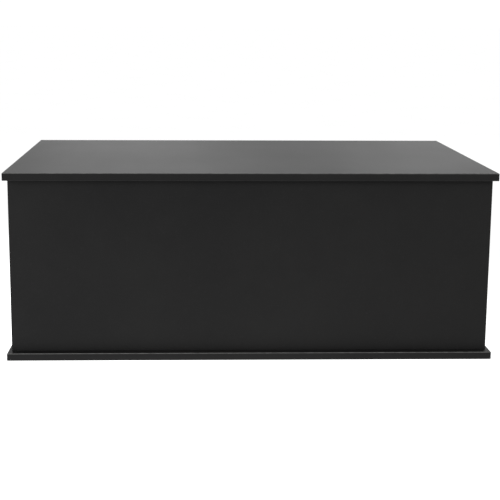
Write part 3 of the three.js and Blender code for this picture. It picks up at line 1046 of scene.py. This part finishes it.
@dataclass
class Fasteners:
    """The patterns that every screw and rivet of the table shares."""

    assembler: Assembler
    shank: float = 1.7 * MM
    head_radius: float = 4.0 * MM
    head_height: float = 2.2 * MM
    thread_pitch: float = 1.4 * MM
    thread_height: float = 0.35 * MM
    point: float = 3.0 * MM
    recess_length: float = 1.9 * MM
    recess_width: float = 0.75 * MM
    recess_depth: float = 1.5 * MM
    recess_taper: float = 0.45  # recess's floor over its mouth
    thread_flank: float = 0.15  # share of the pitch on either side of a thread's crest
    seat_share: float = 0.96  # head's radius at its seat over its widest
    head_flank: float = 0.35  # share of the head's height below its crown
    head_crown: float = 0.65  # share of the head's radius that rounds over
    head_steps: int = 8
    rivet_head: float = 8.0 * MM
    rivet_height: float = 2.6 * MM
    rivet_shank: float = 4.0 * MM
    rivet_seat_share: float = 0.97  # head's radius at its seat over its widest
    rivet_flank: float = 0.25  # share of the head's height below its crown
    rivet_foot: float = 0.4  # share of the flank where the head is widest
    rivet_crown: float = 0.7  # share of the head's radius that rounds over
    rivet_steps: int = 10
    dimple: float = 1.6 * MM
    dimple_floor: float = 0.6  # share of the dimple's radius
    dimple_depth: float = 0.5 * MM
    dimple_slope: float = 0.4 * MM
    sides: int = 40

    def screw_mesh(self, length: float) -> bpy.types.Mesh:
        """A pan-head screw with a cross recess, its head up.

        Args:
            length: Its whole length, tip to crown.

        Returns:
            The mesh, its tip at Z = 0.
        """
        seat = length - self.head_height
        root = self.shank - self.thread_height
        profile: Profile = [(0, 0), (root, self.point)]
        height = self.point
        while height + 2 * self.thread_pitch < seat:
            profile += [
                (root, height + (0.5 - self.thread_flank) * self.thread_pitch),
                (self.shank, height + 0.5 * self.thread_pitch),
                (root, height + (0.5 + self.thread_flank) * self.thread_pitch),
            ]
            height += self.thread_pitch
        profile += [(root, seat), (self.head_radius * self.seat_share, seat)]
        flank = self.head_flank * self.head_height
        crown = self.head_crown * self.head_radius
        rise = self.head_height - flank
        profile += arc((self.head_radius - crown, seat + flank), (crown, rise), 0, 90, self.head_steps)
        profile.append((0, length))
        pattern = self.assembler.show("screw_pattern", turned("screw", profile, self.sides))
        cutter = cross_prism(
            self.recess_length, self.recess_width, 2 * self.recess_depth, self.recess_taper
        )
        carve(pattern, cutter, [Matrix.Translation((0, 0, length - self.recess_depth))])
        return self.finish_pattern(pattern)

    def rivet_mesh(self, length: float) -> bpy.types.Mesh:
        """A round-head rivet with the dimple of its setting tool.

        Args:
            length: Its whole length.

        Returns:
            The mesh, its foot at Z = 0 and its head up.
        """
        seat = length - self.rivet_height
        flank = self.rivet_flank * self.rivet_height
        crown = self.rivet_crown * self.rivet_head
        rise = self.rivet_height - flank
        profile: Profile = [(0, 0), (self.rivet_shank, 0), (self.rivet_shank, seat)]
        profile.append((self.rivet_head * self.rivet_seat_share, seat))
        profile.append((self.rivet_head, seat + self.rivet_foot * flank))
        profile += arc((self.rivet_head - crown, seat + flank), (crown, rise), 0, 90, self.rivet_steps)
        profile.append((self.dimple, length))
        profile.append((self.dimple_floor * self.dimple, length - self.dimple_slope))
        profile.append((0, length - self.dimple_depth))
        rivet = turned("rivet", profile, self.sides)
        return self.finish_pattern(self.assembler.show("rivet_pattern", rivet))

    def finish_pattern(self, pattern: bpy.types.Object) -> bpy.types.Mesh:
        """Keeps a pattern's mesh and clears the pattern away.

        Args:
            pattern: The finished pattern.

        Returns:
            Its mesh.
        """
        sharpen(pattern.data)
        true_flats(pattern)
        mesh = pattern.data
        mesh.use_fake_user = True
        bpy.data.objects.remove(pattern)
        return mesh


@dataclass
class TensionSpring:
    """A close-wound tension spring with an eye at each end."""

    side: Side
    coil_radius: float = 5.9 * MM
    wire: float = 1.1 * MM
    eye_radius: float = 5.0 * MM
    shank: float = 12.0 * MM
    pitch: float = 2.42 * MM
    steps_per_turn: int = 18
    eye_start: float = 78.0  # degrees round the eye
    eye_end: float = 345.0
    eye_steps: int = 28
    neck_bend: Pair = (1.2 * MM, -0.35 * MM)  # past the eye, and off the spring's middle
    neck_reach: float = 2.8 * MM
    open_length: float = 132.52 * MM
    wire_sides: int = 8

    @property
    def node(self) -> str:
        """The CAD node of this spring."""
        return f"{self.side.label}_spring"

    def anchor(self) -> Vector:
        """The fixed stud that the spring swings about."""
        swing = next(joint for joint in frame["joints"] if joint["child"] == self.node)
        return Vector(swing["pos_m"])

    def wire_path(self, length: float) -> list[Vector]:
        """The wire's middle line along +Y, from the fixed eye to the arm's eye.

        Args:
            length: Distance between the eyes' middles.

        Returns:
            Points along the wire.
        """
        eye = []
        for step in range(self.eye_steps + 1):
            angle = math.radians(self.eye_start + (self.eye_end - self.eye_start) * step / self.eye_steps)
            eye.append(Vector((0, self.eye_radius * math.cos(angle), self.eye_radius * math.sin(angle))))
        bend_along, bend_up = self.neck_bend
        neck = [
            Vector((0, self.eye_radius + bend_along, bend_up)),
            Vector((0, self.eye_radius + self.neck_reach, 0)),
        ]
        coiled = length - 2 * self.shank
        turns = round(coiled / self.pitch)
        coil = []
        total = turns * self.steps_per_turn
        ramp = 0.5 * self.steps_per_turn
        for step in range(total + 1):
            angle = math.tau * step / self.steps_per_turn
            swell = min(1.0, step / ramp, (total - step) / ramp)
            radius = self.coil_radius * math.sin(math.pi / 2 * swell)
            along = self.shank + coiled * step / total
            coil.append(Vector((radius * math.sin(angle), along, radius * math.cos(angle))))
        start = eye + neck
        far = [Vector((-p.x, length - p.y, -p.z)) for p in reversed(start)]
        return start + coil + far

    def build(self, assembler: Assembler) -> None:
        """Winds the spring in place.

        Args:
            assembler: Dresses the spring and puts it on its body.
        """
        anchor = self.anchor()
        lug = 2 * middle_of(self.node) - anchor
        lug.x = anchor.x
        reach = lug - anchor
        along = reach.normalized()
        across = Vector((1, 0, 0))
        turn = Matrix((across, along, across.cross(along))).transposed().to_4x4()
        path = [anchor + turn.to_3x3() @ point for point in self.wire_path(reach.length)]
        name = f"{self.side.label}_tension_spring"
        spring = assembler.show(name, sweep(name, path, self.wire, self.wire_sides))
        assembler.fit(spring, self.node, Slot.ZINC)
        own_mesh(spring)


@dataclass
class LiftMechanism:
    """One end's base bracket, lid rail, arms, rivets, screws and spring."""

    side: Side
    assembler: Assembler
    screws: bpy.types.Mesh
    rivets: dict[str, bpy.types.Mesh]
    turns: random.Random
    sheet_edge: float = 0.35 * MM
    edge_steps: int = 4
    coplanar: float = 1.0  # degrees under which two faces count as one
    crease: float = 35.0  # degrees over which an edge is softened
    screws_per_plate: int = 4

    def build(self) -> None:
        """Makes every piece of this end's mechanism."""
        label = self.side.label
        self.press(f"{label}_base_bracket", f"{label}_bracket_plate")
        self.press(f"{label}_lid_rail", f"{label}_rail_plate")
        for row in ("front", "rear"):
            self.press(f"{label}_{row}_arm", f"{label}_{row}_lift_arm")
            for end in ("lower", "upper"):
                self.set_rivet(f"{label}_{row}_{end}_rivet", end)
        for i in range(1, self.screws_per_plate + 1):
            self.drive_screw(f"{label}_bracket_screw_{i}", self.side.inward)
            self.drive_screw(f"{label}_rail_screw_{i}", Vector((0, 0, -1)))
        TensionSpring(self.side).build(self.assembler)

    def press(self, node: str, name: str) -> None:
        """Makes a pressed-steel piece with softened edges from its CAD shape.

        Args:
            node: The CAD node.
            name: The piece's name.
        """
        shape = bmesh.new()
        shape.from_mesh(frame["nodes"][node].data)
        bmesh.ops.remove_doubles(shape, verts=shape.verts, dist=WELD)
        bmesh.ops.dissolve_limit(
            shape, angle_limit=math.radians(self.coplanar), verts=shape.verts, edges=shape.edges
        )
        creased = [edge for edge in shape.edges if edge.calc_face_angle(0.0) > math.radians(self.crease)]
        softened = bmesh.ops.bevel(
            shape,
            geom=creased,
            offset=self.sheet_edge,
            offset_type="OFFSET",
            affect="EDGES",
            segments=self.edge_steps,
            profile=0.5,
            clamp_overlap=True,
        )
        rounded = set(softened["faces"])
        layer = shape.verts.layers.float.new(WEAR_AND_HIGHLIGHT_LAYER)
        for vertex in shape.verts:
            vertex[layer] = 1.0 if rounded.issuperset(vertex.link_faces) else 0.0
        for face in shape.faces:
            face.smooth = True
        mesh = bpy.data.meshes.new(name)
        shape.to_mesh(mesh)
        shape.free()
        plate = self.assembler.show(name, mesh)
        sharpen(plate.data, self.crease)
        true_flats(plate)
        self.assembler.fit(plate, node, Slot.STEEL)

    def set_rivet(self, node: str, end: str) -> None:
        """Sets one rivet.

        Args:
            node: The rivet's CAD node.
            end: Which end of the arm it holds.
        """
        foot = middle_of(node) - self.side.inward * span(node, 0) / 2
        rivet = self.assembler.show(f"{node}_round_head", self.rivets[end], aim(foot, self.side.inward))
        self.assembler.fit(rivet, node, Slot.ZINC)

    def drive_screw(self, node: str, head: Vector) -> None:
        """Drives one screw.

        Args:
            node: The screw's CAD node.
            head: The direction that its head faces.
        """
        low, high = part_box(node)
        length = abs((high - low).dot(head))
        tip = middle_of(node) - head * length / 2
        spin = self.turns.uniform(0, math.pi / 2)
        screw = self.assembler.show(f"{node}_pan_head", self.screws, aim(tip, head, spin))
        self.assembler.fit(screw, node, Slot.ZINC)


# ---- Studio and camera ----


@dataclass(frozen=True)
class Softbox:
    """A soft rectangular lamp."""

    name: str
    place: Triple
    target: Triple
    width: float
    height: float
    power: float

    def hang(self) -> None:
        """Hangs the lamp, out of the camera's sight."""
        lamp = bpy.data.lights.new(self.name, "AREA")
        lamp.shape = "RECTANGLE"
        lamp.size = self.width
        lamp.size_y = self.height
        lamp.energy = self.power
        holder = bpy.data.objects.new(self.name, lamp)
        direction = Vector(self.target) - Vector(self.place)
        holder.location = self.place
        holder.rotation_euler = direction.to_track_quat("-Z", "Y").to_euler()
        holder.visible_camera = False
        bpy.context.scene.collection.objects.link(holder)


LAMPS = (
    Softbox("overhead_lamp", (0.0, -3.0, 1.8), (0.0, -0.3, 0.2), 2.6, 0.9, 39.0),
    Softbox("back_left_lamp", (-0.45, 3.4, 1.45), (-0.2, 0.0, 0.4), 0.9, 1.3, 5.0),
    Softbox("back_right_lamp", (1.25, 3.4, 1.45), (0.3, 0.0, 0.4), 0.9, 1.3, 5.6),
    Softbox("low_left_lamp", (-1.05, -1.05, 0.10), (-0.50, -0.29, 0.04), 0.5, 0.2, 3.4),
)


@dataclass
class Studio:
    """A pale light table in an evenly lit white room."""

    floor_half: float = 60.0
    floor_thickness: float = 0.02
    near_glow: float = 1.80
    far_glow: float = 0.76
    near_reach: float = 0.35
    glow_middle: Triple = (-0.35, 0.0, 0.0)
    far_reach: float = 1.35
    floor_paint: float = 0.20
    floor_mottle: float = 0.95
    mottle_scale: float = 3.0
    floor_roughness: float = 0.9
    horizon: float = 1.08
    wall: float = 2.16
    ceiling: float = 1.10
    horizon_end: float = 0.03
    wall_rise: float = 0.22
    ceiling_start: float = 0.54

    def build(self) -> None:
        """Makes the room, the floor and the lamps."""
        bpy.context.scene.view_settings.view_transform = "Standard"
        self.light_room()
        self.lay_floor()
        for lamp in LAMPS:
            lamp.hang()

    def light_room(self) -> None:
        """Fills the room with even light, brightest on the walls above the horizon."""
        world = bpy.data.worlds.new("studio_room")
        bpy.context.scene.world = world
        world.use_nodes = True
        tree = world.node_tree
        background = tree.nodes["Background"]
        place = tree.nodes.new("ShaderNodeTexCoord")
        split = tree.nodes.new("ShaderNodeSeparateXYZ")
        tree.links.new(place.outputs["Generated"], split.inputs["Vector"])
        glow = tree.nodes.new("ShaderNodeMath")
        glow.operation = "SUBTRACT"
        fades = (
            (self.horizon_end, self.wall_rise, self.horizon, self.wall),
            (self.wall_rise, self.ceiling_start, 0.0, self.wall - self.ceiling),
        )
        for socket, (start, end, low, high) in zip(glow.inputs, fades):
            fade = tree.nodes.new("ShaderNodeMapRange")
            fade.interpolation_type = "SMOOTHSTEP"
            fade.inputs["From Min"].default_value = start
            fade.inputs["From Max"].default_value = end
            fade.inputs["To Min"].default_value = low
            fade.inputs["To Max"].default_value = high
            tree.links.new(split.outputs["Z"], fade.inputs["Value"])
            tree.links.new(fade.outputs["Result"], socket)
        tree.links.new(glow.outputs["Value"], background.inputs["Strength"])
        background.inputs["Color"].default_value = (1, 1, 1, 1)

    def lay_floor(self) -> None:
        """Lays the pale glowing floor, its top at Z = 0."""
        reach, bottom = self.floor_half, -self.floor_thickness
        corners = ((-reach, -reach), (reach, -reach), (reach, reach), (-reach, reach))
        rings = [[Vector((x, y, z)) for x, y in corners] for z in (bottom, 0.0)]
        floor = bpy.data.objects.new("floor", loft("floor", rings))
        for polygon in floor.data.polygons:
            polygon.use_smooth = False
        bpy.context.scene.collection.objects.link(floor)
        bench = NodeBench("pale_floor")
        paint = (self.floor_paint,) * 3
        dimmer = (self.floor_mottle * self.floor_paint,) * 3
        mottled = bench.blend(bench.spread(bench.noise(self.mottle_scale), 0.0, 1.0), paint, dimmer)
        bench.feed(
            bench.shader,
            Base_Color=mottled,
            Roughness=self.floor_roughness,
            Specular_IOR_Level=0.0,
            Emission_Color=(1, 1, 1, 1),
            Emission_Strength=self.glow(bench),
        )
        floor.data.materials.append(bench.material)

    def glow(self, bench: NodeBench) -> bpy.types.NodeSocket:
        """The light table's glow, strongest under the table's left half and fading outwards.

        Args:
            bench: The floor's material.

        Returns:
            The glow's strength.
        """
        distance = bench.tree.nodes.new("ShaderNodeVectorMath")
        distance.operation = "DISTANCE"
        bench.tree.links.new(bench.place, distance.inputs[0])
        distance.inputs[1].default_value = self.glow_middle
        reach = distance.outputs["Value"]
        return bench.spread(reach, self.near_glow, self.far_glow, self.near_reach, self.far_reach)


@dataclass(frozen=True)
class Viewpoint:
    """The camera: in front of the table, a little to its left and above it."""

    place: Triple = (-0.12371, -2.54375, 0.72176)
    pitch: float = math.radians(9.920)
    yaw: float = math.radians(1.746)
    roll: float = math.radians(0.311)
    lens: float = 79.92
    film: float = 36.0
    shift: Pair = (0.05, -0.085)

    def build(self) -> None:
        """Makes the camera and makes it the scene's own."""
        ahead = Vector(
            (
                math.sin(self.yaw) * math.cos(self.pitch),
                math.cos(self.yaw) * math.cos(self.pitch),
                -math.sin(self.pitch),
            )
        )
        level = Vector((math.cos(self.yaw), -math.sin(self.yaw), 0))
        above = level.cross(ahead)
        right = level * math.cos(self.roll) + above * math.sin(self.roll)
        up = above * math.cos(self.roll) - level * math.sin(self.roll)
        camera = bpy.data.cameras.new("front_camera")
        camera.lens = self.lens
        camera.sensor_width = self.film
        camera.shift_x, camera.shift_y = self.shift
        holder = bpy.data.objects.new("front_camera", camera)
        turn = Matrix((right, up, -ahead)).transposed().to_4x4()
        holder.matrix_world = Matrix.Translation(self.place) @ turn
        bpy.context.scene.collection.objects.link(holder)
        bpy.context.scene.camera = holder


def main() -> None:
    """Builds the table, the studio and the camera."""
    logging.basicConfig(level=logging.INFO, format="%(message)s")
    Viewpoint().build()
    Studio().build()
    assembler = Assembler(FinishShelf())
    Chest(assembler).build()
    fasteners = Fasteners(assembler)
    screws = fasteners.screw_mesh(span("left_bracket_screw_1", 0))
    rivets = {end: fasteners.rivet_mesh(span(f"left_front_{end}_rivet", 0)) for end in ("lower", "upper")}
    turns = random.Random(SCREW_SEED)
    for side in Side:
        LiftMechanism(side, assembler, screws, rivets, turns).build()


if __name__ == "__main__":
    main()
